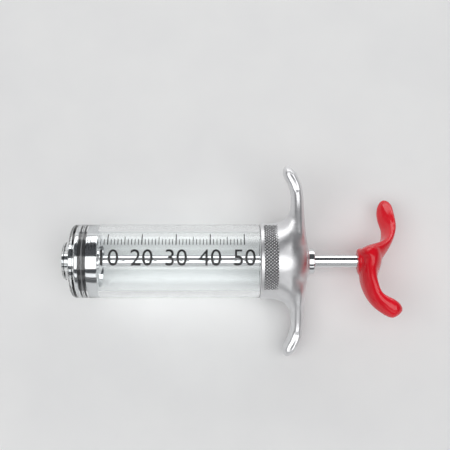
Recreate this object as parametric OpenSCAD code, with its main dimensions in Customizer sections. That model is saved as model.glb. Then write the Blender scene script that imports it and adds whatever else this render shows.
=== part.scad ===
// Hand meat injector: a thick clear barrel with a screwed-on cast finger grip, a sealed piston on a
// steel rod, and a rubber-dipped palm handle. The barrel's axis is X: the needle socket looks along
// -X, the palm handle is at +X, the finger wings reach along +Y and -Y. The origin is the middle of
// the socket's mouth. Millimetres.

/* [Barrel] */
// Outside diameter of the clear barrel
barrel_d = 34.8; // [33.6:0.1:36]
// Bore of the barrel
bore_d = 28.5; // [28:0.1:29]
// Where the front wall's outer face stands
shoulder_x = 4.6; // [4.4:0.1:4.8]
// Where the bore starts, behind the front wall
bore_x = 7; // [6.8:0.1:7]
// Rear end of the barrel
barrel_end_x = 102; // [101:0.5:103]
// Diameter of the boss round the needle socket
boss_d = 18; // [17:0.5:20]
// Diameter over the rear thread
thread_d = 32.6; // [32:0.1:33]

/* [Nozzle] */
// Inside diameter of the socket's thread
socket_d = 4.2; // [4:0.1:4.4]
// Length of the socket's threaded wall
socket_l = 5; // [4:0.5:5]
// Diameter of the nozzle's outer rim
rim_d = 10.8; // [10:0.1:11]
// Diameter of the nozzle's shank
shank_d = 6.8; // [6.6:0.1:7]

/* [Plunger] */
// Diameter of the rod
rod_d = 6; // [5.9:0.1:6.1]
// Diameter of the piston discs
disc_d = 27.8; // [27.4:0.1:27.9]
// Where the front disc starts, plunger fully in
piston_x = 7.3; // [7.2:0.1:7.5]
// Thickness of the front disc
front_disc_t = 1.6; // [1.5:0.1:1.8]
// Thickness of one piston ring
ring_t = 1.5; // [1.4:0.1:1.6]
// Length of the rear disc
rear_disc_t = 5.5; // [5:0.1:6]

/* [Finger grip] */
// Span over the two wings
wing_span = 90.4; // [88:0.4:96]
// Rear face of the casting
grip_end_x = 116.4; // [115.6:0.1:117]
// Outside diameter of the plain collar
collar_d = 35.8; // [35.4:0.1:36.2]
// Diameter over the two knurled pads
knurl_d = 37.2; // [36.8:0.1:37.6]
// Diameter of the gland's bore
gland_d = 10.6; // [10.4:0.1:10.8]
// Outside diameter of the gland nut
gland_nut_d = 12.2; // [11.8:0.1:12.6]

/* [Palm handle] */
// Where the handle's boss starts, plunger fully in
handle_x = 139.4; // [138:0.2:142]
// Diameter of the handle's boss
handle_boss_d = 12; // [11.6:0.2:12.8]
// Thickness of the rubber dip
dip_t = 1.2; // [1:0.1:1.3]

/* [Hidden] */
$fn = 96;
slip = 0.05;       // play round anything that slides, turns or screws, on the radius
chamfer = 0.4;     // broken edge of a turned part
ring_facets = 28;  // points round a lofted section
ring_play = 0.03;  // gap left round a rubber ring that rubs on a bore or a rod

// Barrel
barrel_r = barrel_d / 2;
bore_r = bore_d / 2;
thread_r = thread_d / 2;
thread_x = 93.1;       // where the barrel steps down to its thread
corner_r = 2;          // rounding of the barrel's front corner
boss_r = boss_d / 2;
boss_x = 0.4;          // front face of the boss
seal_d = 14.6;         // outside diameter of the nozzle's seal ring
seal_section = 1.05;   // thickness of that ring
lock_r = 8.3;          // radius of the ring nut inside the front wall
lock_t = 1.6;
rim_t = 1.2;
duct_d = 2.5;          // liquid's way through the nozzle

// Piston
hub_x = piston_x + front_disc_t;
hub_t = 2 * ring_t + 0.5;
rear_disc_x = hub_x + hub_t;
piston_end_x = rear_disc_x + rear_disc_t;
piston_ring_r = bore_r - ring_play - ring_t / 2;  // centre circle of a piston ring
spigot_r = 2.4;        // front end of the rod, inside the piston
rod_step_x = rear_disc_x + 2;
spigot_x = hub_x + 0.6;
screw_r = 1.5;
screw_head_r = 3.6;

// Grip and gland
collar_x = 93.2;
knurl_x = 94.85;
knurl_end_x = 101.6;
knurl_arc = 116;       // degrees of the collar that one knurled pad covers
gasket_t = 1.3;
gland_x = 107.2;       // bottom of the gland's bore
gland_r = gland_d / 2;
bush_end_x = 113;
rod_ring_t = 1.3;
rod_r = rod_d / 2;
cup_r = rod_r + 1.35;  // pocket for the rod rings, inside the bush
washer_t = 0.6;
nut_spigot_x = bush_end_x + washer_t;
nut_t = 2.7;
groove_r = 2.4;        // radius of the scoop in a wing's edge

// Wings: at equal steps from the axis to the tip, where the front and rear faces stand, and half the
// width along Z
wing_front = [101, 101, 101, 101.2, 103.2, 106.9, 107.8, 107.3, 105.5, 104.1, 104.2];
wing_rear = [113.5, 114.9, 115.3, 115, 114.6, 114.3, 114.1, 113.7, 112.8, 111, 108.8];
wing_half = [13, 13, 12.6, 11.6, 9.8, 8.1, 7.4, 7.5, 8, 8.2, 7];
wing_steps = 30;
grip_turn = 15.3;        // at rest the injector lies on its barrel, its collar and the tip of one wing

// Palm handle: for each arm the reach from the axis, how far its section has turned at the tip, and
// along it from the axis to the tip where its middle stands along X, half its thickness along the
// palm's push and half its width
upper_arm = [33.6, 54, [144.6, 153, 155.9, 155, 154.8], [6, 2.6, 2.2, 2.4, 2.4], [11.2, 7, 5.5, 5.1, 3.6]];
lower_arm = [27.4, -21, [146, 144.4, 145, 148.2, 157.3], [5.1, 4.1, 2.9, 2.7, 4.6], [11.4, 9.2, 7.5, 5.4, 5.4]];
arm_steps = 24;
handle_turn = -16.5;   // the plunger turns freely: this is how its handle stands at rest
core_boss_r = handle_boss_d / 2 - dip_t;
rod_thread_r = 2.5;
rod_shoulder_x = handle_x + 1;
rod_end_x = 147;

// Value at t, from 0 to 1, of a smooth curve through equally spaced values
function along(values, t) =
    let (
        m = len(values) - 1,
        s = min(t * m, m - 0.00001),
        i = floor(s),
        f = s - i,
        a = values[max(i - 1, 0)],
        b = values[i],
        c = values[i + 1],
        d = values[min(i + 2, m)]
    )
    b + f / 2 * (c - a + f * (2 * a - 5 * b + 4 * c - d + f * (3 * b - a - 3 * c + d)));

// Points round a superellipse: a power of 2 is an ellipse, more is squarer
function oval(a, b, power, count) = [
    for (k = [0:count - 1])
        let (t = 360 * k / count, c = cos(t), s = sin(t))
            [a * sign(c) * pow(abs(c), 2 / power), b * sign(s) * pow(abs(s), 2 / power)]
];

// 1 along an arm, falling in a quarter circle to a small end over its last stretch
function round_end(t, stretch) =
    let (u = max(0, (t - 1 + stretch) / stretch)) max(0.22, sqrt(1 - u * u));

// Closed solid through rings of points, each ring flat and with the same number of points
module loft(rings) {
    n = len(rings[0]);
    last = len(rings) - 1;
    sides = [
        for (i = [0:last - 1], k = [0:n - 1])
            let (a = i * n + k, b = i * n + (k + 1) % n)
                each [[a, b, a + n], [b, b + n, a + n]]
    ];
    front = [for (k = [n - 1:-1:0]) k];
    back = [for (k = [0:n - 1]) last * n + k];
    polyhedron(points = [for (ring = rings, p = ring) p], faces = concat(sides, [front, back]));
}

// Turned shape about the X axis from an outline of [x, radius] points
module turned(outline) {
    rotate([0, 90, 0])
        rotate_extrude()
            polygon([for (p = outline) [p[1], p[0]]]);
}

// Plain ring about the X axis
module collar(x, length, outer_r, inner_r) {
    turned([[x, inner_r], [x + length, inner_r], [x + length, outer_r], [x, outer_r]]);
}

// Round-section ring about the X axis
module o_ring(x, centre_r, section) {
    translate([x, 0, 0])
        rotate([0, 90, 0])
            rotate_extrude()
                translate([centre_r, 0])
                    circle(d = section, $fn = 32);
}

// Points of a quarter round corner, from angle a0 to a1, about [x, r]
function corner(x, r, radius, a0, a1) = [
    for (i = [0:6]) let (a = a0 + (a1 - a0) * i / 6) [x + radius * cos(a), r + radius * sin(a)]
];

module barrel() {
    color("lightblue", 0.4)
        turned(concat(
            [[boss_x, rim_d / 2 + 0.1]],
            corner(boss_x + 1.4, boss_r - 1.4, 1.4, 180, 90),
            corner(shoulder_x - 1.2, boss_r + 1.2, 1.2, 270, 360),
            corner(shoulder_x + corner_r, barrel_r - corner_r, corner_r, 180, 90),
            [[thread_x, barrel_r], [thread_x, thread_r - 0.5], [thread_x + 1, thread_r - 0.5],
             [thread_x + 1.5, thread_r], [barrel_end_x - 0.5, thread_r],
             [barrel_end_x, thread_r - 0.5], [barrel_end_x, bore_r + 0.6], [barrel_end_x - 1, bore_r]],
            corner(bore_x + 0.6, bore_r - 0.6, 0.6, 90, 180),
            [[bore_x, lock_r + 0.1], [bore_x - lock_t, lock_r + 0.1],
             [bore_x - lock_t, seal_d / 2 + slip], [bore_x - lock_t - seal_section, seal_d / 2 + slip],
             [bore_x - lock_t - seal_section, seal_d / 2 - seal_section - slip],
             [bore_x - lock_t, seal_d / 2 - seal_section - slip],
             [bore_x - lock_t, shank_d / 2 + slip], [boss_x + 0.8, shank_d / 2 + slip],
             [boss_x + 0.8, rim_d / 2 + 0.1]]
        ));
}

// Needle socket: a rim outside, a shank through the front wall, a threaded hole and a duct
module nozzle_insert() {
    socket_r = socket_d / 2;
    socket_end_x = socket_l;
    color("silver")
        turned([
            [0, socket_r], [socket_end_x, socket_r],
            [socket_end_x + 0.6, duct_d / 2], [bore_x, duct_d / 2], [bore_x, shank_d / 2 - chamfer],
            [bore_x - chamfer, shank_d / 2], [rim_t, shank_d / 2], [rim_t, rim_d / 2],
            [chamfer, rim_d / 2], [0, rim_d / 2 - chamfer]
        ]);
}

module nozzle_seal() {
    color("black")
        o_ring(bore_x - lock_t - seal_section / 2, (seal_d - seal_section) / 2, seal_section);
}

// Ring nut that holds the nozzle, sunk flush into the front wall, with two spanner slots
module nozzle_lock_ring() {
    color("silver")
        difference() {
            collar(bore_x - lock_t, lock_t, lock_r, shank_d / 2 + slip);
            for (side = [-1, 1])
                translate([bore_x - 0.5, side * 6.6 - 0.9, -1])
                    cube([1, 1.8, 2]);
        }
}

module piston_screw() {
    head_x = piston_x + 0.1;
    cone_l = screw_head_r - screw_r;
    color("silver")
        difference() {
            turned([
                [head_x, 0], [head_x, screw_head_r], [head_x + 0.2, screw_head_r],
                [head_x + 0.2 + cone_l * 0.6, screw_r], [rod_step_x - 1, screw_r],
                [rod_step_x - 0.6, screw_r - 0.4], [rod_step_x - 0.6, 0]
            ]);
            translate([head_x - 0.1, -2.6, -0.35])
                cube([0.7, 5.2, 0.7]);
        }
}

module piston_washer() {
    color("dimgray")
        collar(hub_x + slip, spigot_x - hub_x - 2 * slip, spigot_r - slip, screw_r + slip);
}

module piston_front_disc() {
    r = disc_d / 2;
    seat_x = piston_x + 0.3 + (screw_head_r - screw_r) * 0.6;
    color("silver")
        turned([
            [piston_x, screw_head_r + slip], [piston_x + 0.3, screw_head_r + slip],
            [seat_x, screw_r + slip], [hub_x, screw_r + slip],
            [hub_x, r], [piston_x + chamfer, r], [piston_x, r - chamfer]
        ]);
}

// Spool between the two discs: it carries the rings with a narrow land between them
module piston_hub() {
    groove_floor_r = piston_ring_r - ring_t / 2 - slip;
    color("gainsboro")
        turned([
            [hub_x, spigot_r + slip], [hub_x + hub_t, spigot_r + slip],
            [hub_x + hub_t, groove_floor_r], [hub_x + hub_t - ring_t, groove_floor_r],
            [hub_x + hub_t - ring_t, disc_d / 2], [hub_x + ring_t, disc_d / 2],
            [hub_x + ring_t, groove_floor_r], [hub_x, groove_floor_r]
        ]);
}

module piston_ring_front() {
    color("black")
        o_ring(hub_x + ring_t / 2, piston_ring_r, ring_t - 0.02);
}

module piston_ring_rear() {
    color("black")
        o_ring(hub_x + hub_t - ring_t / 2, piston_ring_r, ring_t - 0.02);
}

// Rear disc: a shallow cup, open to the rear round its hub
module piston_rear_disc() {
    r = disc_d / 2;
    color("silver")
        turned([
            [rear_disc_x, spigot_r + slip], [rod_step_x, spigot_r + slip],
            [rod_step_x, rod_r + slip], [piston_end_x, rod_r + slip], [piston_end_x, rod_r + 3],
            [rod_step_x + 1, rod_r + 3.4], [rod_step_x + 1, r - 2.2],
            [piston_end_x, r - 1.6], [piston_end_x, r - chamfer], [piston_end_x - chamfer, r],
            [rear_disc_x + chamfer, r], [rear_disc_x, r - chamfer]
        ]);
}

// Rod: a spigot through the piston at the front, a thread into the handle at the rear
module plunger_rod() {
    color("silver")
        difference() {
            turned([
                [spigot_x, 0], [spigot_x, spigot_r], [rod_step_x, spigot_r], [rod_step_x, rod_r],
                [rod_shoulder_x, rod_r], [rod_shoulder_x, rod_thread_r],
                [rod_end_x - chamfer, rod_thread_r], [rod_end_x, rod_thread_r - chamfer],
                [rod_end_x, 0]
            ]);
            turned([
                [spigot_x - 1, 0], [spigot_x - 1, screw_r + slip], [rod_step_x, screw_r + slip],
                [rod_step_x + 0.8, 0]
            ]);
        }
}

// Rings of one arm, each square to the arm's middle line, from just past the axis to the tip, drawn in
// by a skin thickness. Side is 1 for the upper arm and -1 for the lower one.
function arm_rings(arm, side, skin, points) = [
    for (i = [-2:arm_steps])
        let (
            u = i / arm_steps,
            t = max(u, 0),
            before = max(t - 0.01, 0),
            after = min(t + 0.01, 1),
            slope = (along(arm[2], after) - along(arm[2], before)) / (after - before) / arm[0],
            stretch = sqrt(1 + slope * slope),
            end = round_end(t, 0.16),
            half_t = (along(arm[3], t) - skin) * pow(end, 0.7),
            half_w = (along(arm[4], t) - skin) * end,
            turn = arm[1] * t
        )
        [
            for (p = oval(half_w, -half_t, 2, points))
                let (
                    across = p[0] * cos(turn) - p[1] * sin(turn),
                    deep = p[0] * sin(turn) + p[1] * cos(turn)
                )
                [
                    along(arm[2], t) + deep / stretch,
                    side * ((arm[0] - skin) * u - deep * slope / stretch),
                    side * across
                ]
        ]
];

// Both arms of the palm handle, drawn in by a skin thickness
module arms(skin, points) {
    loft(arm_rings(upper_arm, 1, skin, points));
    loft(arm_rings(lower_arm, -1, skin, points));
}

// Metal handle inside the dip, with a tapped boss for the rod
module handle_core() {
    color("gray")
        rotate([handle_turn, 0, 0])
            difference() {
                union() {
                    arms(dip_t, 16);
                    collar(handle_x + dip_t, 6, core_boss_r, 0);
                }
                collar(handle_x, rod_shoulder_x - handle_x, rod_r + slip, 0);
                collar(handle_x, rod_end_x + 1 - handle_x, rod_thread_r + slip, 0);
            }
}

// Soft red dip over the whole handle, open round the rod
module handle_cover() {
    color("red")
        rotate([handle_turn, 0, 0])
            difference() {
                union() {
                    arms(0, ring_facets);
                    turned(concat(
                        [[handle_x, 0], [handle_x, handle_boss_d / 2 - 1]],
                        corner(handle_x + 1, handle_boss_d / 2 - 1, 1, 180, 90),
                        [[146, handle_boss_d / 2], [146, 0]]
                    ));
                }
                arms(dip_t, 16);
                collar(handle_x + dip_t, 6, core_boss_r, 0);
                collar(handle_x - 1, 6, rod_r + slip, 0);
            }
}

module barrel_gasket() {
    color("black")
        collar(barrel_end_x, gasket_t, thread_r - 0.1, bore_r + 0.1);
}

// Rings of the two wings, from tip to tip
function wings() = [
    for (i = [-wing_steps:wing_steps])
        let (
            side = i < 0 ? -1 : 1,
            t = abs(i) / wing_steps,
            end = round_end(t, 0.09),
            front = along(wing_front, t),
            rear = along(wing_rear, t),
            mid = (front + rear) / 2
        )
        [for (p = oval((rear - front) / 2 * end, along(wing_half, t) * end, 2.5, ring_facets))
            [mid + p[0], side * wing_span / 2 * t, p[1]]]
];

// Scoop along the edge of a wing, near its tip
module scoop(side, top) {
    translate([107.3, side * 40.4, top * 9.4])
        rotate([0, 0, side * -64]) {
            sphere(r = groove_r);
            rotate([0, 90, 0])
                cylinder(r = groove_r, h = 9);
            translate([9, 0, 0])
                sphere(r = groove_r);
        }
}

// One casting: screwed collar, bell, two wings and the gland's housing
module finger_grip() {
    color("lightgray")
        difference() {
            union() {
                turned(concat(
                    [[collar_x, 0], [collar_x, collar_d / 2 - chamfer], [collar_x + chamfer, collar_d / 2],
                     [103, collar_d / 2]],
                    [for (i = [1:10]) let (a = 9 * i)
                        [103 + 12.6 * sin(a), 8 + (collar_d / 2 - 8) * cos(a)]],
                    [[grip_end_x, 7], [grip_end_x, 0]]
                ));
                for (top = [0, 180])
                    rotate([top, 0, 0])
                        rotate([90 - knurl_arc / 2, 0, 0])
                            rotate([0, 90, 0])
                                rotate([0, 0, 90])
                                    rotate_extrude(angle = knurl_arc)
                                        polygon([
                                            [collar_d / 2 - 1, knurl_x], [knurl_d / 2 - chamfer, knurl_x],
                                            [knurl_d / 2, knurl_x + chamfer],
                                            [knurl_d / 2, knurl_end_x - chamfer],
                                            [knurl_d / 2 - chamfer, knurl_end_x],
                                            [collar_d / 2 - 1, knurl_end_x]
                                        ]);
                rotate([grip_turn, 0, 0])
                    loft(wings());
            }
            // Socket for the barrel's thread and the gasket, then the hollow of the bell
            turned([
                [collar_x - 1, 0], [collar_x - 1, thread_r + slip],
                [barrel_end_x + gasket_t, thread_r + slip], [barrel_end_x + gasket_t, 12.6],
                [gland_x - 2.2, 9], [gland_x - 1, 7], [gland_x - 1, 0]
            ]);
            // Gland
            collar(gland_x - 2, 3, rod_r + 0.4, 0);
            collar(gland_x, 20, gland_r, 0);
            rotate([grip_turn, 0, 0])
                for (side = [-1, 1], top = [-1, 1])
                    scoop(side, top);
        }
}

// Guide bush, with a pocket for the two rod rings
module rod_bush() {
    color("ivory")
        turned([
            [gland_x, rod_r + slip], [bush_end_x - 2 * rod_ring_t, rod_r + slip],
            [bush_end_x - 2 * rod_ring_t, cup_r], [bush_end_x, cup_r],
            [bush_end_x, gland_r - slip], [gland_x, gland_r - slip]
        ]);
}

module rod_ring_front() {
    color("black")
        o_ring(bush_end_x - 1.5 * rod_ring_t, rod_r + ring_play + rod_ring_t / 2, rod_ring_t - 0.02);
}

module rod_ring_rear() {
    color("black")
        o_ring(bush_end_x - 0.5 * rod_ring_t, rod_r + ring_play + rod_ring_t / 2, rod_ring_t - 0.02);
}

module gland_washer() {
    color("dimgray")
        collar(bush_end_x, washer_t, gland_r - slip, rod_r + 0.1);
}

module gland_nut() {
    nut_r = gland_nut_d / 2;
    color("silver")
        turned([
            [nut_spigot_x, rod_r + slip], [grip_end_x + nut_t, rod_r + slip],
            [grip_end_x + nut_t, nut_r - chamfer], [grip_end_x + nut_t - chamfer, nut_r],
            [grip_end_x, nut_r], [grip_end_x, gland_r - slip], [nut_spigot_x, gland_r - slip]
        ]);
}

barrel();
nozzle_insert();
nozzle_seal();
nozzle_lock_ring();
piston_screw();
piston_washer();
piston_front_disc();
piston_hub();
piston_ring_front();
piston_ring_rear();
piston_rear_disc();
plunger_rod();
handle_core();
handle_cover();
barrel_gasket();
finger_grip();
rod_bush();
rod_ring_front();
rod_ring_rear();
gland_washer();
gland_nut();
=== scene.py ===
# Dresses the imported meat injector: a clear barrel with a volume scale, a plated socket, piston and rod,
# a satin cast finger grip with two knurled pads, and a palm handle dipped in red rubber.
# The barrel's axis is X, the needle socket looks along -X, +Z is up. Shapes are worked out in millimetres.
import math
import bmesh
import bpy
import numpy as np
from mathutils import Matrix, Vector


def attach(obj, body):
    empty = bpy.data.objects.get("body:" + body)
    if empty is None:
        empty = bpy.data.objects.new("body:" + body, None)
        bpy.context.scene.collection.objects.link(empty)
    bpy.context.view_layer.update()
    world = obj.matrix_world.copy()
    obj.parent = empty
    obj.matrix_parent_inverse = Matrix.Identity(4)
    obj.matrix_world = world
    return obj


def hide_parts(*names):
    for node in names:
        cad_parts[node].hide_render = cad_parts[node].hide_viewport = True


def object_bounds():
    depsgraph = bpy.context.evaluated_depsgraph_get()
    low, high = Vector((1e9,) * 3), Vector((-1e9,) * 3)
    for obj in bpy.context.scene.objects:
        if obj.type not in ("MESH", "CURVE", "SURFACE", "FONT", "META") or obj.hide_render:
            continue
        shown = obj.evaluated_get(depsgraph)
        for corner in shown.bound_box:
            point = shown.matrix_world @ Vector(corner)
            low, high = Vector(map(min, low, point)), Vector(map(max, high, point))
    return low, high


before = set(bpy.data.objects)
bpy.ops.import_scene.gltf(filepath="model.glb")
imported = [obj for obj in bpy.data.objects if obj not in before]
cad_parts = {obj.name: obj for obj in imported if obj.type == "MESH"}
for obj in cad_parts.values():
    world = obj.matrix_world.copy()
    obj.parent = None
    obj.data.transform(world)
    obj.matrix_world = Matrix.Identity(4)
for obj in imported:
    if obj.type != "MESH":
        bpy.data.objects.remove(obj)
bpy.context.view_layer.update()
mm = 0.001
fullTurn = 2 * math.pi



def looseMesh(name, points, faces):
    # A mesh object from points in mm and faces, merged and turned outwards.
    mesh = bpy.data.meshes.new(name)
    mesh.from_pydata((points * mm).tolist(), [], faces)
    work = bmesh.new()
    work.from_mesh(mesh)
    bmesh.ops.remove_doubles(work, verts=work.verts, dist=2e-6)
    bmesh.ops.dissolve_degenerate(work, edges=work.edges, dist=1e-7)
    bmesh.ops.recalc_face_normals(work, faces=work.faces)
    work.to_mesh(mesh)
    work.free()
    piece = bpy.data.objects.new(name, mesh)
    bpy.context.scene.collection.objects.link(piece)
    return piece


def putMesh(name, points, faces, body, material, replaced=(), sharp=35):
    # A finished piece from points in mm and faces.
    return dress(looseMesh(name, points, faces), body, material, replaced, sharp)


def dress(piece, body, material, replaced=(), sharp=35):
    # Smooths all but a piece's sharp edges, gives it its material and body, and hides the CAD parts it
    # replaces.
    mesh = piece.data
    mesh.materials.clear()
    mesh.materials.append(material)
    mesh.shade_smooth()
    mesh.set_sharp_from_angle(angle=math.radians(sharp))
    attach(piece, body)
    if replaced:
        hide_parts(*replaced)
    return piece


def gridFaces(rows, columns, wrapRows, wrapColumns):
    # Quads of a rows x columns grid of points, as one array.
    i, j = np.meshgrid(np.arange(rows if wrapRows else rows - 1),
                       np.arange(columns if wrapColumns else columns - 1), indexing="ij")
    nextI, nextJ = (i + 1) % rows, (j + 1) % columns
    here, ahead = i * columns, nextI * columns
    quads = np.stack([here + j, here + nextJ, ahead + nextJ, ahead + j], -1)
    return quads.reshape(-1, 4).tolist()


def softOutline(corners, steps=5):
    # A closed outline through corners (x, r, fillet): each corner with a fillet becomes a tangent arc.
    count = len(corners)
    line = []
    for k in range(count):
        x, r, fillet = corners[k]
        here = np.array([x, r], float)
        if fillet <= 0:
            line.append(here)
            continue
        back = np.array(corners[k - 1][:2], float) - here
        ahead = np.array(corners[(k + 1) % count][:2], float) - here
        back /= np.linalg.norm(back)
        ahead /= np.linalg.norm(ahead)
        half = math.acos(np.clip(back @ ahead, -1, 1)) / 2
        middle = here + (back + ahead) / np.linalg.norm(back + ahead) * fillet / math.sin(half)
        start = here + back * fillet / math.tan(half) - middle
        end = here + ahead * fillet / math.tan(half) - middle
        spread = math.pi - 2 * half
        for t in np.linspace(0, 1, steps + 1):
            arc = (math.sin((1 - t) * spread) * start + math.sin(t * spread) * end) / math.sin(spread)
            line.append(middle + arc)
    return np.array(line)


def finer(outline, step):
    # The closed outline with extra points, so that none of its edges is longer than step.
    parts = []
    for here, ahead in zip(outline, np.roll(outline, -1, 0)):
        pieces = max(1, math.ceil(np.linalg.norm(ahead - here) / step))
        parts.append(here + (ahead - here) * np.arange(pieces)[:, None] / pieces)
    return np.concatenate(parts)


def turnedPoints(outline, turns=128, shift=None):
    # P(s, a) = (x(s), r cos a, r sin a), with r = r(s) + shift(x, r, a): an outline turned about X.
    a = np.arange(turns) * fullTurn / turns
    x = np.repeat(outline[:, :1], turns, 1)
    r = np.repeat(outline[:, 1:], turns, 1)
    a = np.broadcast_to(a, x.shape)
    if shift is not None:
        r = r + shift(x, r, a)
    return np.stack([x, r * np.cos(a), r * np.sin(a)], -1)


def turned(name, corners, body, material, replaced=(), turns=128, step=None, shift=None, steps=5):
    # A closed turned piece from its outline's corners.
    outline = softOutline(corners, steps)
    if step:
        outline = finer(outline, step)
    points = turnedPoints(outline, turns, shift)
    faces = gridFaces(len(outline), turns, True, True)
    return putMesh(name, points.reshape(-1, 3), faces, body, material, replaced)


def fade(value, low, high):
    # 0 below low, 1 above high, and a smooth rise between.
    t = np.clip((value - low) / (high - low), 0, 1)
    return t * t * (3 - 2 * t)


def along(values, t):
    # Value at t, from 0 to 1, of a smooth curve through equally spaced values (Catmull-Rom).
    values = np.asarray(values, float)
    last = len(values) - 1
    s = np.clip(np.asarray(t, float) * last, 0, last - 1e-6)
    i = np.floor(s).astype(int)
    f = s - i
    a, b = values[np.maximum(i - 1, 0)], values[i]
    c, d = values[i + 1], values[np.minimum(i + 2, last)]
    return b + f / 2 * (c - a + f * (2 * a - 5 * b + 4 * c - d + f * (3 * b - a - 3 * c + d)))


def helix(x, a, pitch):
    # A thread's ridge, 0 at its root and 1 at its crest, at x along the axis and angle a round it.
    phase = (x / pitch - a / fullTurn) % 1
    return np.clip(1.5 - np.abs(4 * phase - 2), 0, 1)



def newMaterial(name):
    # An empty node material with its Principled node, ready for values.
    material = bpy.data.materials.new(name)
    material.use_nodes = True
    tree = material.node_tree
    shader = next(n for n in tree.nodes if n.type == "BSDF_PRINCIPLED")
    return material, tree, shader


def objectPoints(tree, scale):
    # Object coordinates stretched by scale, for a pattern that stays on the piece.
    coordinates = tree.nodes.new("ShaderNodeTexCoord")
    mapping = tree.nodes.new("ShaderNodeMapping")
    mapping.inputs["Scale"].default_value = scale
    tree.links.new(coordinates.outputs["Object"], mapping.inputs["Vector"])
    return mapping.outputs["Vector"]


def noise(tree, vector, scale, detail=4.0, rough=0.5):
    # Noise value read at vector.
    node = tree.nodes.new("ShaderNodeTexNoise")
    node.inputs["Scale"].default_value = scale
    node.inputs["Detail"].default_value = detail
    node.inputs["Roughness"].default_value = rough
    tree.links.new(vector, node.inputs["Vector"])
    return node.outputs["Fac"]


def spread(tree, value, low, high, fromLow=0.3, fromHigh=0.7):
    # value moved from its own range to low..high.
    node = tree.nodes.new("ShaderNodeMapRange")
    node.inputs["From Min"].default_value = fromLow
    node.inputs["From Max"].default_value = fromHigh
    node.inputs["To Min"].default_value = low
    node.inputs["To Max"].default_value = high
    tree.links.new(value, node.inputs["Value"])
    return node.outputs["Result"]


def colourBetween(tree, value, dark, light):
    # A colour that runs from dark to light with value.
    node = tree.nodes.new("ShaderNodeMix")
    node.data_type = "RGBA"
    node.inputs[6].default_value = (*dark, 1)
    node.inputs[7].default_value = (*light, 1)
    tree.links.new(value, node.inputs[0])
    return node.outputs[2]


def bump(tree, shader, height, depth, strength=1.0, after=None):
    # Adds a bump of that depth in metres to the shader's normal, after another bump if there is one.
    node = tree.nodes.new("ShaderNodeBump")
    node.inputs["Strength"].default_value = strength
    node.inputs["Distance"].default_value = depth
    tree.links.new(height, node.inputs["Height"])
    if after is not None:
        tree.links.new(after, node.inputs["Normal"])
    tree.links.new(node.outputs["Normal"], shader.inputs["Normal"])
    return node.outputs["Normal"]


def metalFinish(name, dark, light, roughLow, roughHigh, grain, grainDepth):
    # Metal with a drawn grain: noise stretched along the grain sets small changes of colour, gloss and
    # height.
    material, tree, shader = newMaterial(name)
    shader.inputs["Metallic"].default_value = 1.0
    cloudy = noise(tree, objectPoints(tree, (1, 1, 1)), 90, 3)
    drawn = noise(tree, objectPoints(tree, grain), 60, 5, 0.6)
    colour = colourBetween(tree, spread(tree, cloudy, 0, 1), dark, light)
    tree.links.new(colour, shader.inputs["Base Color"])
    tree.links.new(spread(tree, drawn, roughLow, roughHigh), shader.inputs["Roughness"])
    bump(tree, shader, drawn, grainDepth, 0.6)
    return material


def knurlFinish():
    # Knurled metal: bright crests, and grooves painted near black as painted shade and rougher, by the
    # distance from the barrel's axis, r = |(0, y, z)|.
    material, tree, shader = newMaterial("knurlWithPaintedShade")
    shader.inputs["Metallic"].default_value = 1.0
    across = tree.nodes.new("ShaderNodeVectorMath")
    across.operation = "LENGTH"
    tree.links.new(objectPoints(tree, (0, 1, 1)), across.inputs[0])
    height = spread(tree, across.outputs["Value"], 0, 1, 0.01798, 0.0185)
    # painted shade: the colour falls to near black in the grooves and at the pad's low borders
    colour = colourBetween(tree, height, (0.03, 0.03, 0.032), (0.86, 0.86, 0.87))
    tree.links.new(colour, shader.inputs["Base Color"])
    tree.links.new(spread(tree, height, 0.5, 0.24, 0, 1), shader.inputs["Roughness"])
    grain = noise(tree, objectPoints(tree, (1, 1, 1)), 1800, 3)
    bump(tree, shader, grain, 0.00001, 0.5)
    return material


def clearFinish():
    # Clear acrylic with the faint haze of handling. Lamps shine through it, so what it holds is lit.
    material, tree, shader = newMaterial("clearAcrylic")
    shader.inputs["Base Color"].default_value = (0.945, 0.96, 0.962, 1)
    shader.inputs["Transmission Weight"].default_value = 1.0
    shader.inputs["IOR"].default_value = 1.49
    haze = noise(tree, objectPoints(tree, (1, 6, 6)), 130, 5, 0.65)
    tree.links.new(spread(tree, haze, 0.0, 0.035, 0.45, 0.75), shader.inputs["Roughness"])
    lamps = tree.nodes.new("ShaderNodeLightPath")
    through = tree.nodes.new("ShaderNodeBsdfTransparent")
    through.inputs["Color"].default_value = (0.93, 0.94, 0.94, 1)
    mix = tree.nodes.new("ShaderNodeMixShader")
    out = next(n for n in tree.nodes if n.type == "OUTPUT_MATERIAL")
    tree.links.new(lamps.outputs["Is Shadow Ray"], mix.inputs[0])
    tree.links.new(shader.outputs["BSDF"], mix.inputs[1])
    tree.links.new(through.outputs["BSDF"], mix.inputs[2])
    tree.links.new(mix.outputs["Shader"], out.inputs["Surface"])
    return material


def rubberFinish(name, dark, light, roughness):
    # Moulded rubber: a fine matt grain.
    material, tree, shader = newMaterial(name)
    grain = noise(tree, objectPoints(tree, (1, 1, 1)), 2600, 2)
    cloud = noise(tree, objectPoints(tree, (1, 1, 1)), 160, 3)
    tree.links.new(colourBetween(tree, spread(tree, cloud, 0, 1), dark, light), shader.inputs["Base Color"])
    tree.links.new(spread(tree, grain, roughness - 0.06, roughness + 0.08), shader.inputs["Roughness"])
    bump(tree, shader, grain, 0.00002, 0.5)
    return material


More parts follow.
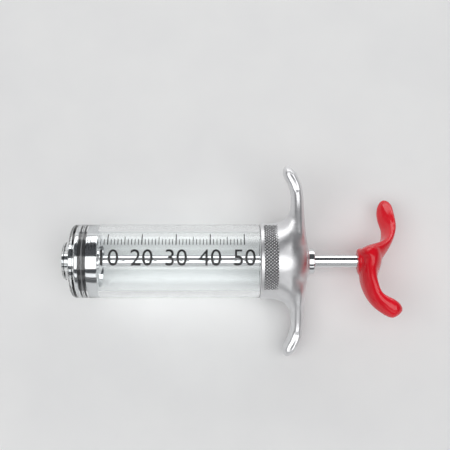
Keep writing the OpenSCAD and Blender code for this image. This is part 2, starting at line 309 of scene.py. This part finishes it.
def dipFinish():
    # Glossy red plastisol dip: slow waves left by draining, a slight orange peel and a soft body.
    material, tree, shader = newMaterial("redDip")
    cloud = noise(tree, objectPoints(tree, (1, 1, 1)), 45, 2)
    peel = noise(tree, objectPoints(tree, (1, 1, 1)), 520, 2)
    colour = colourBetween(tree, spread(tree, cloud, 0, 1), (0.66, 0.004, 0.014), (0.78, 0.008, 0.022))
    tree.links.new(colour, shader.inputs["Base Color"])
    tree.links.new(spread(tree, peel, 0.16, 0.21), shader.inputs["Roughness"])
    shader.inputs["Specular IOR Level"].default_value = 0.5
    waves = bump(tree, shader, cloud, 0.0003, 0.3)
    bump(tree, shader, peel, 0.000006, 0.4, waves)
    return material


def plasticFinish(name, dark, light, roughness):
    # Plain moulded plastic with faint flow marks.
    material, tree, shader = newMaterial(name)
    flow = noise(tree, objectPoints(tree, (2, 1, 1)), 220, 3)
    tree.links.new(colourBetween(tree, spread(tree, flow, 0, 1), dark, light), shader.inputs["Base Color"])
    tree.links.new(spread(tree, flow, roughness - 0.05, roughness + 0.07), shader.inputs["Roughness"])
    return material


metalLooks = {
    # name, dark, light, roughness from and to, grain's stretch, grain's depth in metres
    "bright": ("brightPlating", (0.70, 0.71, 0.72), (0.80, 0.81, 0.82), 0.05, 0.12, (1, 14, 14), 0.000004),
    "cast": ("satinCasting", (0.66, 0.66, 0.67), (0.82, 0.82, 0.83), 0.33, 0.47, (0.5, 30, 30), 0.00005),
    "steel": ("plainSteel", (0.42, 0.42, 0.43), (0.58, 0.58, 0.6), 0.22, 0.36, (1, 10, 10), 0.00001),
}
plasticLooks = {
    # name, dark, light, roughness
    "ink": ("blackInk", (0.006, 0.006, 0.007), (0.014, 0.014, 0.015), 0.45),
    "bush": ("naturalPlastic", (0.68, 0.66, 0.58), (0.78, 0.76, 0.68), 0.4),
    "hub": ("greyPlastic", (0.13, 0.13, 0.135), (0.19, 0.19, 0.195), 0.4),
}
finishes = {key: metalFinish(*look) for key, look in metalLooks.items()}
finishes.update({key: plasticFinish(*look) for key, look in plasticLooks.items()})
finishes["rubber"] = rubberFinish("blackRubber", (0.006, 0.006, 0.007), (0.016, 0.016, 0.017), 0.42)
finishes["knurl"] = knurlFinish()
finishes["clear"] = clearFinish()
finishes["dip"] = dipFinish()
print("materials ready")



barrelSizes = {
    "outer": 17.4, "bore": 14.25, "thread": 16.3, "boss": 9.0, "bossFront": 0.4, "shoulder": 4.6,
    "boreFront": 7.0, "threadStart": 93.1, "rear": 102.0, "corner": 2.2, "pitch": 2.0, "threadDepth": 0.55,
    "lockRadius": 8.4, "lockDepth": 1.6, "sealOuter": 7.35, "sealInner": 6.2, "sealDepth": 1.05,
    "around": 160,
}
socketSizes = {
    "bore": 2.1, "length": 5.0, "rim": 5.4, "rimDepth": 1.2, "shank": 3.4, "shankEnd": 7.0, "duct": 1.25,
    "pitch": 0.8, "threadDepth": 0.38, "play": 0.05,
}


def makeBarrel():
    # Thick clear tube with a closed front, a boss round the socket and a screw thread at the rear.
    b, s = barrelSizes, socketSizes
    root, start, rear, front = b["thread"] - 0.6, b["threadStart"], b["rear"], b["boreFront"]
    lockX, rimX = front - b["lockDepth"], b["bossFront"] + 0.8
    sealX, shank, rim = lockX - b["sealDepth"], s["shank"] + s["play"], s["rim"] + 0.1
    corners = [
        (b["bossFront"], rim, 0), (b["bossFront"], b["boss"], 1.4), (b["shoulder"], b["boss"] + 0.2, 1.2),
        (b["shoulder"], b["outer"], b["corner"]), (start, b["outer"], 0.3),
        (start, root, 0.3), (start + 1, root, 0), (rear - 0.5, root, 0),
        (rear, b["thread"] - 0.9, 0.2), (rear, b["bore"] + 0.5, 0.2), (rear - 1, b["bore"], 0),
        (front, b["bore"], 0.6), (front, b["lockRadius"], 0), (lockX, b["lockRadius"], 0),
        (lockX, b["sealOuter"], 0), (sealX, b["sealOuter"], 0), (sealX, b["sealInner"], 0),
        (lockX, b["sealInner"], 0), (lockX, shank, 0), (rimX, shank, 0), (rimX, rim, 0),
    ]

    def thread(x, r, a):
        inRun = fade(x, start + 1, start + 2) * (1 - fade(x, rear - 1.6, rear - 0.6))
        outside = (r > b["bore"] + 0.9) & (x > start + 0.9)
        return np.where(outside, inRun * b["threadDepth"] * helix(x, a, b["pitch"]), 0)

    outline = softOutline(corners, 8)
    rings = []
    for here, ahead in zip(outline, np.roll(outline, -1, 0)):
        lowX, lowR = min(here[0], ahead[0]), min(here[1], ahead[1])
        onThread = lowX > start + 0.9 and lowR > b["bore"] + 1.2
        pieces = max(1, math.ceil(abs(ahead[0] - here[0]) / (0.125 if onThread else 8)))
        rings.append(here + (ahead - here) * np.arange(pieces)[:, None] / pieces)
    outline = np.concatenate(rings)
    points = turnedPoints(outline, b["around"], thread)
    return putMesh("clearBarrel", points.reshape(-1, 3), gridFaces(len(outline), b["around"], True, True),
                   "barrel_body", finishes["clear"], ["barrel"])


scaleSizes = {
    "zero": 7.3, "perMl": 1.568, "most": 50, "lift": 0.015, "ink": 0.03, "tickWide": 0.32,
    "tickFrom": 15.0, "short": 3.0, "middle": 4.4, "long": 6.0,
    "figureHeight": 7.6, "figureMiddle": -5.0, "figureWeight": 0.0,
}


def wrapped(points, radius):
    # Flat (x, y, height) onto the barrel: P = (x, (R + height) sin(y / R), (R + height) cos(y / R)).
    out = radius + points[:, 2]
    angle = points[:, 1] / radius
    return np.stack([points[:, 0], out * np.sin(angle), out * np.cos(angle)], -1)


def makeTicks():
    # Printed rings of the volume scale: one thin raised band for each millilitre, longer at 5 and 10.
    s, radius = scaleSizes, barrelSizes["outer"]
    blocks, faces = [], []
    for ml in range(1, s["most"] + 1):
        reach = s["long"] if ml % 10 == 0 else s["middle"] if ml % 5 == 0 else s["short"]
        wide = s["tickWide"] * (1.5 if ml % 10 == 0 else 1.0)
        middle = s["zero"] + s["perMl"] * ml
        y = np.linspace(0, reach, 9) + math.radians(s["tickFrom"]) * radius
        section = np.array([[-1, 0], [-1, 1], [1, 1], [1, 0]]) * [wide / 2, s["ink"]]
        x = np.broadcast_to(middle + section[:, 0], (9, 4))
        height = np.broadcast_to(s["lift"] + section[:, 1] - s["ink"] / 2, (9, 4))
        block = np.stack([x, np.broadcast_to(y[:, None], (9, 4)), height], -1).reshape(-1, 3)
        start = 36 * len(blocks)
        faces += [[v + start for v in f] for f in gridFaces(9, 4, False, True)]
        faces += [[start + v for v in (0, 1, 2, 3)], [start + v for v in (35, 34, 33, 32)]]
        blocks.append(block)
    points = wrapped(np.concatenate(blocks), radius)
    return putMesh("scaleTicks", points, faces, "barrel_body", finishes["ink"])


def makeFigures():
    # Printed numbers at every ten millilitres, cut into narrow strips and wrapped onto the barrel.
    s, radius = scaleSizes, barrelSizes["outer"]
    parts = []
    for ml in range(10, s["most"] + 1, 10):
        words = bpy.data.curves.new(f"figure{ml}", "FONT")
        words.body = str(ml)
        words.size = s["figureHeight"] / 0.7
        words.align_x = "CENTER"
        words.offset = s["figureWeight"] * s["figureHeight"] / 2
        words.resolution_u = 6
        words.extrude = s["ink"] / 2
        holder = bpy.data.objects.new(f"figure{ml}", words)
        bpy.context.scene.collection.objects.link(holder)
        bpy.context.view_layer.update()
        flat = bpy.data.meshes.new_from_object(holder.evaluated_get(bpy.context.evaluated_depsgraph_get()))
        bpy.data.objects.remove(holder)
        work = bmesh.new()
        work.from_mesh(flat)
        low, high = min(v.co.y for v in work.verts), max(v.co.y for v in work.verts)
        for cut in np.arange(low + 0.4, high, 0.4):
            everything = work.verts[:] + work.edges[:] + work.faces[:]
            bmesh.ops.bisect_plane(work, geom=everything, dist=1e-5,
                                   plane_co=(0, cut, 0), plane_no=(0, 1, 0))
        bmesh.ops.remove_doubles(work, verts=work.verts, dist=1e-4)
        work.verts.index_update()
        co = np.array([v.co for v in work.verts])
        co[:, 0] += s["zero"] + s["perMl"] * ml
        co[:, 1] += math.radians(s["figureMiddle"]) * radius - (low + high) / 2
        co[:, 2] += s["lift"]
        parts.append((wrapped(co, radius), [[v.index for v in f.verts] for f in work.faces]))
        work.free()
        bpy.data.meshes.remove(flat)
    points = np.concatenate([p for p, _ in parts])
    starts = np.cumsum([0] + [len(p) for p, _ in parts])
    faces = [[v + start for v in f] for start, (_, fs) in zip(starts, parts) for f in fs]
    return putMesh("scaleFigures", points, faces, "barrel_body", finishes["ink"])


makeBarrel()
makeTicks()
makeFigures()
print("barrel and scale ready")



def makeSocket():
    # Plated socket: rounded rim, shank through the front wall, a cut M5 thread and the liquid's duct.
    s = socketSizes
    corners = [
        (0, s["bore"] + 0.35, 0.12), (0, s["rim"], 0.45), (s["rimDepth"], s["rim"], 0.25),
        (s["rimDepth"], s["shank"], 0.2), (s["shankEnd"], s["shank"], 0.35), (s["shankEnd"], s["duct"], 0.1),
        (s["length"] + 0.7, s["duct"], 0.1), (s["length"], s["bore"], 0.1), (0.35, s["bore"], 0.05),
    ]

    def thread(x, r, a):
        inRun = fade(x, 0.3, 0.9) * (1 - fade(x, s["length"] - 0.6, s["length"] - 0.1))
        groove = inRun * s["threadDepth"] * (1 - helix(x, a, s["pitch"]))
        return np.where(np.abs(r - s["bore"]) < 0.02, groove, 0)

    return turned("plainSocket", corners, "barrel_body", finishes["bright"],
                  ["nozzle_insert"], turns=96, step=0.12, shift=thread)


makeSocket()
print("socket ready")



pistonSizes = {
    "disc": 14.26, "ring": 14.27, "ringWide": 1.5, "ringDeep": 1.35, "grooveFloor": 12.85, "spigot": 2.45,
    "front": 7.3, "frontEnd": 8.9, "rear": 12.4, "rearEnd": 17.9, "hole": 3.05,
    "screw": 1.55, "screwHead": 3.65, "rodStep": 14.4, "cupFloor": 15.4, "cupHub": 6.0, "cupRim": 12.3,
}
nutSizes = {
    "front": 113.6, "step": 116.4, "rear": 119.1, "hole": 3.05, "mouth": 3.55, "neck": 5.25, "rim": 6.1,
}


def makePistonDiscs():
    # Two plated discs: the front one with a screw seat, the rear one a shallow cup round its hub.
    p = pistonSizes
    front = [
        (p["front"], p["screwHead"], 0.08), (p["front"], p["disc"], 0.5), (p["frontEnd"], p["disc"], 0.25),
        (p["frontEnd"], p["screw"], 0), (8.86, p["screw"], 0), (7.6, p["screwHead"], 0),
    ]
    turned("frontDisc", front, "plunger", finishes["bright"], ["piston_front_disc"])
    rear = [
        (p["rear"], p["spigot"], 0), (p["rodStep"], p["spigot"], 0), (p["rodStep"], p["hole"], 0),
        (p["rearEnd"], p["hole"], 0.15), (p["rearEnd"], p["cupHub"], 0.4),
        (p["cupFloor"], p["cupHub"] + 0.4, 0.7), (p["cupFloor"], p["cupRim"] - 0.6, 0.9),
        (p["rearEnd"], p["cupRim"], 0.4), (p["rearEnd"], p["disc"], 0.5), (p["rear"], p["disc"], 0.4),
    ]
    turned("rearDisc", rear, "plunger", finishes["bright"], ["piston_rear_disc"])


def makePistonSeals():
    # Spool and two rings of the piston, pressed flat against the bore where they touch it.
    p = pistonSizes
    x0, x1, floor, land = p["frontEnd"], p["rear"], p["grooveFloor"], p["disc"]
    landFrom, landTo = x0 + p["ringWide"] + 0.02, x1 - p["ringWide"] - 0.02
    spool = [
        (x0, p["spigot"], 0), (x1, p["spigot"], 0), (x1, floor, 0), (landTo, floor, 0),
        (landTo, land, 0.05), (landFrom, land, 0.05), (landFrom, floor, 0), (x0, floor, 0),
    ]
    turned("pistonSpool", spool, "plunger", finishes["hub"], ["piston_hub"])
    for name, start, node in (("pistonRingFront", x0, "piston_ring_front"),
                              ("pistonRingRear", x1 - p["ringWide"], "piston_ring_rear")):
        a, b = start + 0.04, start + p["ringWide"] - 0.04
        inner = p["ring"] - p["ringDeep"]
        ring = [(a, inner, 0.5), (a, p["ring"], 0.4), (b, p["ring"], 0.4), (b, inner, 0.5)]
        turned(name, ring, "piston_rings", finishes["rubber"], [node])


def makeGlandNut():
    # Plated gland nut with a rounded rim and a bevelled mouth round the rod.
    n = nutSizes
    corners = [
        (n["front"], n["hole"], 0), (n["rear"] - 0.5, n["hole"], 0), (n["rear"], n["mouth"], 0),
        (n["rear"], n["rim"], 0.55), (n["step"], n["rim"], 0.15), (n["step"], n["neck"], 0),
        (n["front"], n["neck"], 0.2),
    ]
    turned("glandNutPlated", corners, "grip", finishes["bright"], ["gland_nut"])


makePistonDiscs()
makePistonSeals()
makeGlandNut()
print("piston and gland ready")



gripSizes = {
    "front": 93.2, "rear": 116.4, "collar": 17.93, "bellStart": 103.0, "bellEnd": 115.6, "bellNarrow": 8.0,
    "rearFace": 7.3, "edge": 0.8, "span": 45.2, "turn": 15.3, "tipLong": 4.5, "power": 2.3,
    "blend": 8.0, "blendFrom": 106.5, "blendTo": 114, "grid": 0.42,
    # along a wing, from the axis to its tip: its front, its rear, half its height
    "wingFront": [104, 104.6, 105.4, 106.2, 107.0, 107.5, 107.9, 107.9, 106.6, 104.4, 103.6],
    "wingRear": [113.5, 114.9, 115.3, 115, 114.6, 114.3, 114.1, 113.7, 112.8, 111, 108.8],
    "wingHalf": [6, 9, 11.6, 12.3, 11.2, 9.4, 8.0, 7.5, 8, 8.2, 7],
    "scoopStart": (106.2, 41.0), "scoopEnd": (110.2, 34.4), "scoopRadius": 1.7, "scoopHeight": 8.7,
    "padFrom": 94.85, "padTo": 101.6, "padArc": 116, "padRoot": 17.98, "padCrest": 18.6,
    "toothAround": 1.52, "toothAlong": 1.7,
}


def softLeast(a, b, blend):
    # Lesser of two distances with a rounded corner: min(a, b) - max(blend - |a - b|, 0)^2 / (4 blend).
    return np.minimum(a, b) - np.maximum(blend - np.abs(a - b), 0) ** 2 / (4 * blend)


def bellDistance(x, r):
    # Distance outside the turned collar and bell: r - collar, then a quarter ellipse, cut off square in
    # front.
    g = gripSizes
    high = g["collar"] - g["bellNarrow"]
    ahead = np.maximum(x - g["bellStart"], 0) / (g["bellEnd"] - g["bellStart"])
    bell = (np.hypot(ahead, np.maximum(r - g["bellNarrow"], 0) / high) - 1) * high
    hub = -softLeast(g["rearFace"] - r, g["rear"] - x, g["edge"])
    bell = softLeast(bell, hub, g["edge"])
    return -softLeast(-bell, x - g["front"], g["edge"])


def wingDistance(x, out, z):
    # Distance outside a wing: (|x - middle| / deep)^p + (|z| / high)^p = 1, closed by a quarter circle
    # at the tip.
    g = gripSizes
    t = out / g["span"]
    front, rear, high = along(g["wingFront"], t), along(g["wingRear"], t), along(g["wingHalf"], t)
    deep = (rear - front) / 2
    a, b = np.abs(x - (front + rear) / 2) / deep, np.abs(z) / high
    n = (a ** g["power"] + b ** g["power"] + 1e-9) ** (1 / g["power"])
    end = np.maximum(out - g["span"] + g["tipLong"], 0) / g["tipLong"]
    whole = np.hypot(n, end)
    slope = np.hypot((a / n) ** (g["power"] - 1) / deep, (b / n) ** (g["power"] - 1) / high)
    slope = np.hypot(n / whole * slope, end / whole / g["tipLong"])
    return (whole - 1) / slope


def scoopDistance(x, out, high):
    # Distance outside the little groove near a wing's tip, a capsule on the wing's top and bottom edge.
    g = gripSizes
    (x0, y0), (x1, y1) = g["scoopStart"], g["scoopEnd"]
    t = ((x - x0) * (x1 - x0) + (out - y0) * (y1 - y0)) / ((x1 - x0) ** 2 + (y1 - y0) ** 2)
    t = np.clip(t, 0, 1)
    away = np.hypot(x - x0 - t * (x1 - x0), out - y0 - t * (y1 - y0))
    return np.hypot(away, high - g["scoopHeight"]) - g["scoopRadius"]


def castDistance(points):
    # About how far points are outside the casting: bell and wings run together, less the grooves.
    g = gripSizes
    x, y, z = points[..., 0], points[..., 1], points[..., 2]
    out, high = np.abs(y), np.abs(z)
    blend = 1 + g["blend"] * (1 - fade(x, g["blendFrom"], g["blendTo"]))
    cast = softLeast(bellDistance(x, np.hypot(y, z)), wingDistance(x, out, z), blend)
    return -softLeast(-cast, scoopDistance(x, out, high), 1.0)


def slopeOf(distance, points, reach=0.01):
    # Gradient of a distance by central differences.
    shifts = np.eye(3) * reach
    return np.stack([(distance(points + s) - distance(points - s)) / (2 * reach) for s in shifts], -1)


def skinOf(distance, low, high, step):
    # Skin where distance = 0: one point in each grid cell that it crosses, at the mean of the crossings
    # on the cell's edges, then moved down the slope, p - distance slope / |slope|^2, until it lies on
    # the skin.
    axes = [np.arange(a, b + step, step) for a, b in zip(low, high)]
    grid = np.stack(np.meshgrid(*axes, indexing="ij"), -1)
    value = distance(grid)
    size = np.array(value.shape) - 1
    total, count = np.zeros((*size, 3)), np.zeros(size)
    quads = []
    for axis in range(3):
        ahead = np.eye(3, dtype=int)[axis]
        ends = [slice(0, n if k == axis else n + 1) for k, n in enumerate(size)]
        nexts = [slice(ahead[k], n + 1) for k, n in enumerate(size)]
        first, last = value[tuple(ends)], value[tuple(nexts)]
        crossed = (first < 0) != (last < 0)
        part = np.where(crossed, first / np.where(crossed, first - last, 1), 0)
        hit = (grid[tuple(ends)] + part[..., None] * ahead * step) * crossed[..., None]
        one, two = [k for k in range(3) if k != axis]
        for i in (0, 1):
            for j in (0, 1):
                window = [slice(0, n) for n in size]
                window[one], window[two] = slice(i, i + size[one]), slice(j, j + size[two])
                total += hit[tuple(window)]
                count += crossed[tuple(window)]
        edge = np.argwhere(crossed)
        around = []
        for i, j in ((1, 1), (0, 1), (0, 0), (1, 0)):
            cell = edge.copy()
            cell[:, one] -= i
            cell[:, two] -= j
            around.append(cell)
        quads.append(np.stack(around, 1))
    full = count > 0
    number = np.cumsum(full.ravel()).reshape(full.shape) - 1
    points = total[full] / count[full][:, None]
    for _ in range(5):
        slope = slopeOf(distance, points)
        move = distance(points)[:, None] * slope / np.maximum((slope ** 2).sum(-1, keepdims=True), 1e-6)
        points = points - np.clip(move, -step / 2, step / 2)
    cells = np.concatenate(quads)
    faces = number[cells[..., 0], cells[..., 1], cells[..., 2]]
    return points, faces.tolist()


def cutFrom(piece, cutter):
    # Takes the cutter's solid away from the piece, and removes the cutter.
    cut = piece.modifiers.new("cut", "BOOLEAN")
    cut.operation = "DIFFERENCE"
    cut.solver = "EXACT"
    cut.object = cutter
    bpy.context.view_layer.update()
    made = bpy.data.meshes.new_from_object(piece.evaluated_get(bpy.context.evaluated_depsgraph_get()))
    piece.modifiers.clear()
    piece.data = made
    bpy.data.objects.remove(cutter)


def turnMesh(piece, degrees):
    # Turns a piece's points about the X axis: (y, z) becomes (y cos a - z sin a, y sin a + z cos a).
    co = np.zeros(len(piece.data.vertices) * 3)
    piece.data.vertices.foreach_get("co", co)
    co = co.reshape(-1, 3)
    a = math.radians(degrees)
    y, z = co[:, 1] * math.cos(a) - co[:, 2] * math.sin(a), co[:, 1] * math.sin(a) + co[:, 2] * math.cos(a)
    piece.data.vertices.foreach_set("co", np.stack([co[:, 0], y, z], -1).ravel())


def makeFingerGrip():
    # The casting, hollowed by a turned cutter that carries the screw thread.
    b = barrelSizes
    reach = gripSizes["span"] + 1
    skin = looseMesh("castFingerGrip", *skinOf(castDistance, (92.6, -reach, -18.8), (117.2, reach, 18.8),
                                               gripSizes["grid"]))
    turnMesh(skin, gripSizes["turn"])
    mouth = b["thread"] + 0.05
    corners = [
        (90, 0, 0), (90, mouth, 0), (103.3, mouth, 0), (103.3, 12.6, 0), (105.0, 9.0, 0),
        (106.2, 7.0, 0), (106.2, 3.4, 0), (107.2, 3.4, 0), (107.2, 5.3, 0), (120, 5.3, 0), (120, 0, 0),
    ]
    outline = finer(softOutline(corners), 0.25)

    def thread(x, r, a):
        inRun = fade(x, 94.0, 95.5) * (1 - fade(x, 101.0, 102.0))
        ridge = b["threadDepth"] * (1 - helix(x, a, b["pitch"]))
        return np.where((r > b["thread"]) & (x > 93), -inRun * ridge, 0)

    cutter = looseMesh("gripHollow", turnedPoints(outline, 128, thread).reshape(-1, 3),
                       gridFaces(len(outline), 128, True, True))
    cutFrom(skin, cutter)
    return dress(skin, "grip", finishes["cast"], ["finger_grip"], 32)


def makePad(name, side):
    # Diamond knurl: r = root + height x min(tri(u + v), tri(u - v)), low at its rounded borders.
    g = gripSizes
    arc = math.radians(g["padArc"])
    x = np.linspace(g["padFrom"], g["padTo"], 73)[:, None]
    a = np.linspace(-arc / 2, arc / 2, 433)[None, :]
    around = a * g["padCrest"]
    u = around / g["toothAround"] + x / g["toothAlong"]
    v = around / g["toothAround"] - x / g["toothAlong"]
    cut = np.minimum(1 - np.abs(2 * (u % 1) - 1), 1 - np.abs(2 * (v % 1) - 1))
    tooth = np.minimum(cut * 1.3, 1)
    edge = np.minimum(np.minimum(x - g["padFrom"], g["padTo"] - x) / 0.45,
                      (arc / 2 - np.abs(a)) * g["padCrest"] / 0.9)
    edge = np.clip(edge, 0, 1)
    rise = g["padRoot"] + (g["padCrest"] - g["padRoot"]) * tooth
    skirt = g["collar"] - 0.38
    r = skirt + (rise - skirt) * np.sqrt(1 - (1 - edge) ** 2)
    x = np.broadcast_to(x, r.shape)
    angle = np.broadcast_to(a, r.shape) + (0 if side > 0 else math.pi)
    top = np.stack([x, r * np.sin(angle), r * np.cos(angle)], -1)
    edges, low = [-1, 0], skirt - 0.2
    under = np.stack([x[edges], low * np.sin(angle[edges]), low * np.cos(angle[edges])], -1)
    rings = np.concatenate([top, under], 0).transpose(1, 0, 2)
    faces = gridFaces(rings.shape[0], rings.shape[1], False, True)
    loop = list(range(rings.shape[1]))
    faces += [loop, [(rings.shape[0] - 1) * rings.shape[1] + k for k in loop[::-1]]]
    return putMesh(name, rings.reshape(-1, 3), faces, "grip", finishes["knurl"], sharp=180)


makeFingerGrip()
makePad("knurlPadTop", 1)
makePad("knurlPadBottom", -1)
print("finger grip ready")



handleSizes = {
    "front": 139.4, "boss": 6.0, "bossEnd": 146, "rodHole": 3.15, "rodEnd": 142, "turn": -16.5,
    "power": 2.0, "tipStretch": 0.16, "rings": 90, "around": 56, "voxel": 0.4, "smoothing": 30,
}
# along each arm, from the axis to the tip: where its middle stands, half its thickness, half its width
upperArm = {
    "reach": 33.6, "twist": 54, "mid": [144.6, 153.0, 155.9, 155.0, 154.8],
    "thick": [6.0, 2.6, 2.2, 2.4, 2.4], "wide": [11.2, 7.0, 5.5, 5.1, 3.6],
}
lowerArm = {
    "reach": 27.4, "twist": -21, "mid": [146.0, 144.4, 145.0, 148.2, 157.3],
    "thick": [5.1, 4.1, 2.9, 2.7, 4.6], "wide": [11.4, 9.2, 7.5, 5.4, 5.4],
}


def oval(a, b, power, count):
    # Points round a superellipse: (a |cos|^(2/p), b |sin|^(2/p)) with their signs.
    t = np.arange(count) * fullTurn / count
    c, s = np.cos(t), np.sin(t)
    return a * np.sign(c) * np.abs(c) ** (2 / power), b * np.sign(s) * np.abs(s) ** (2 / power)


def armPoints(arm, side):
    # Rings square to the arm's middle line, each an oval turned by twist x u about it; the lower arm is
    # turned over.
    h = handleSizes
    u = np.linspace(-0.08, 1, h["rings"])[:, None]
    t = np.clip(u, 0, 1)
    mid = along(arm["mid"], t)
    slope = (along(arm["mid"], np.clip(t + 0.01, 0, 1)) - along(arm["mid"], np.clip(t - 0.01, 0, 1)))
    slope = slope / (np.clip(t + 0.01, 0, 1) - np.clip(t - 0.01, 0, 1)) / arm["reach"]
    length = np.hypot(slope, 1)
    fall = np.clip((t - 1 + h["tipStretch"]) / h["tipStretch"], 0, 1)
    end = np.sqrt(1 - fall * fall)
    ca, sa = oval(1, 1, h["power"], h["around"])
    across = along(arm["wide"], t) * end * ca
    deep = along(arm["thick"], t) * end ** 0.7 * sa
    a = np.radians(arm["twist"] * t)
    lateral = across * np.cos(a) - deep * np.sin(a)
    normal = across * np.sin(a) + deep * np.cos(a)
    x = mid + normal / length
    y = arm["reach"] * u - normal * slope / length
    return np.stack([x, side * y, side * lateral], -1)


def armMesh(name, arm, side):
    # One arm: a tube of rings with both ends closed.
    rows, columns = handleSizes["rings"], handleSizes["around"]
    ends = [list(range(columns)), list(range((rows - 1) * columns, rows * columns))]
    return looseMesh(name, armPoints(arm, side).reshape(-1, 3), gridFaces(rows, columns, False, True) + ends)


def turnedMesh(name, corners, turns):
    # A turned solid for use in a cut or a remesh.
    outline = softOutline(corners)
    points = turnedPoints(outline, turns).reshape(-1, 3)
    return looseMesh(name, points, gridFaces(len(outline), turns, True, True))


def makeHandle():
    # The dip: two arms swept from the axis to their tips and a turned boss, grown into one skin and smoothed.
    h = handleSizes
    arms = armMesh("redHandleDip", upperArm, 1)
    lower = armMesh("lowerArm", lowerArm, -1)
    neck = turnedMesh("handleNeck", [(h["front"], 0, 0), (h["front"], h["boss"], 1.0),
                                     (h["bossEnd"], h["boss"] + 0.6, 0), (h["bossEnd"], 0, 0)], 64)
    work = bmesh.new()
    for part in (arms, lower, neck):
        work.from_mesh(part.data)
    work.to_mesh(arms.data)
    work.free()
    bpy.data.objects.remove(lower)
    bpy.data.objects.remove(neck)
    grow = arms.modifiers.new("grow", "REMESH")
    grow.mode = "VOXEL"
    grow.voxel_size = h["voxel"] * mm
    soften = arms.modifiers.new("soften", "SMOOTH")
    soften.factor = 0.5
    soften.iterations = h["smoothing"]
    bpy.context.view_layer.update()
    made = bpy.data.meshes.new_from_object(arms.evaluated_get(bpy.context.evaluated_depsgraph_get()))
    arms.modifiers.clear()
    arms.data = made
    hole = turnedMesh("rodHole", [(130, 0, 0), (130, h["rodHole"], 0), (h["rodEnd"], h["rodHole"], 0),
                                  (h["rodEnd"], 0, 0)], 48)
    cutFrom(arms, hole)
    turnMesh(arms, h["turn"])
    return dress(arms, "plunger", finishes["dip"], ["handle_cover"], 50)


makeHandle()
print("palm handle ready")



nodeFinish = {
    "nozzle_seal": "rubber", "nozzle_lock_ring": "bright", "piston_screw": "steel", "piston_washer": "steel",
    "plunger_rod": "bright",
    "handle_core": "steel", "barrel_gasket": "rubber", "rod_bush": "bush", "rod_ring_front": "rubber",
    "rod_ring_rear": "rubber", "gland_washer": "steel",
}
for nodeName, finish in nodeFinish.items():
    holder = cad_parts[nodeName]
    holder.data.materials.clear()
    holder.data.materials.append(finishes[finish])
print("turned parts finished")



stageSizes = {"radius": 1.5, "rise": 0.6, "steps": 40, "around": 96}
cameraSizes = {"middle": 76.8, "above": 17.2, "distance": 427, "tilt": 13.0, "lens": 71.9}
softboxes = [
    # name, angle from straight up towards +Y, distance, length along X, width, strength
    ("overheadBox", -16, 800, 1500, 620, 2.2),
    ("frontBox", -62, 800, 1500, 200, 1.2),
    ("backBox", 72, 700, 1300, 330, 2.6),
]


def makeStage():
    # Pale floor that sweeps up into a wall: a flat disc, then a quarter round.
    s = stageSizes
    t = np.linspace(0, 1, s["steps"])
    bend = np.clip((t - 0.6) / 0.4, 0, 1) * math.pi / 2
    r = np.where(t < 0.6, t / 0.6 * s["radius"], s["radius"] + s["rise"] * np.sin(bend))
    z = np.where(t < 0.6, 0, s["rise"] * (1 - np.cos(bend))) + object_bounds()[0][2]
    a = np.arange(s["around"]) * fullTurn / s["around"]
    points = np.stack([r[:, None] * np.cos(a) + 0.0768, r[:, None] * np.sin(a),
                       np.broadcast_to(z[:, None], (s["steps"], s["around"]))], -1)
    mesh = bpy.data.meshes.new("paleFloor")
    mesh.from_pydata(points.reshape(-1, 3).tolist(), [], gridFaces(s["steps"], s["around"], False, True))
    mesh.shade_smooth()
    floor = bpy.data.objects.new("paleFloor", mesh)
    bpy.context.scene.collection.objects.link(floor)
    material, tree, shader = newMaterial("palePaper")
    fibre = noise(tree, objectPoints(tree, (1, 1, 1)), 30, 3)
    tree.links.new(colourBetween(tree, spread(tree, fibre, 0, 1), (0.80, 0.80, 0.80), (0.83, 0.83, 0.825)),
                   shader.inputs["Base Color"])
    shader.inputs["Roughness"].default_value = 0.8
    mesh.materials.append(material)


def makeLights():
    # Soft boxes along the barrel, each at an angle round the X axis and facing it.
    middle = cameraSizes["middle"] * mm
    for name, angle, distance, length, width, strength in softboxes:
        data = bpy.data.lights.new(name, "AREA")
        data.shape = "RECTANGLE"
        data.size = length * mm
        data.size_y = width * mm
        data.energy = strength * math.pi * length * mm * width * mm
        light = bpy.data.objects.new(name, data)
        a = math.radians(angle)
        light.location = (middle, math.sin(a) * distance * mm, math.cos(a) * distance * mm)
        light.rotation_euler = (-a, 0, 0)
        bpy.context.scene.collection.objects.link(light)
    world = bpy.data.worlds.new("studio")
    world.use_nodes = True
    sky = world.node_tree.nodes["Background"]
    sky.inputs["Color"].default_value = (0.9, 0.93, 1.0, 1)
    sky.inputs["Strength"].default_value = 0.1
    bpy.context.scene.world = world


def makeCamera():
    # Camera above the injector, tipped a little towards the -Y side, with the barrel below the middle.
    c = cameraSizes
    tilt = math.radians(c["tilt"])
    up = np.array([0, math.cos(tilt), math.sin(tilt)])
    back = np.array([0, -math.sin(tilt), math.cos(tilt)])
    data = bpy.data.cameras.new("studioCamera")
    data.lens = c["lens"]
    data.sensor_width = 36
    data.clip_start = 0.01
    data.clip_end = 20
    camera = bpy.data.objects.new("studioCamera", data)
    camera.location = (np.array([c["middle"], 0, 0]) + up * c["above"] + back * c["distance"]) * mm
    camera.rotation_euler = (tilt, 0, 0)
    bpy.context.scene.collection.objects.link(camera)
    bpy.context.scene.camera = camera


makeStage()
makeLights()
makeCamera()
bpy.context.scene.view_settings.view_transform = "Standard"
print("stage, light and camera ready")
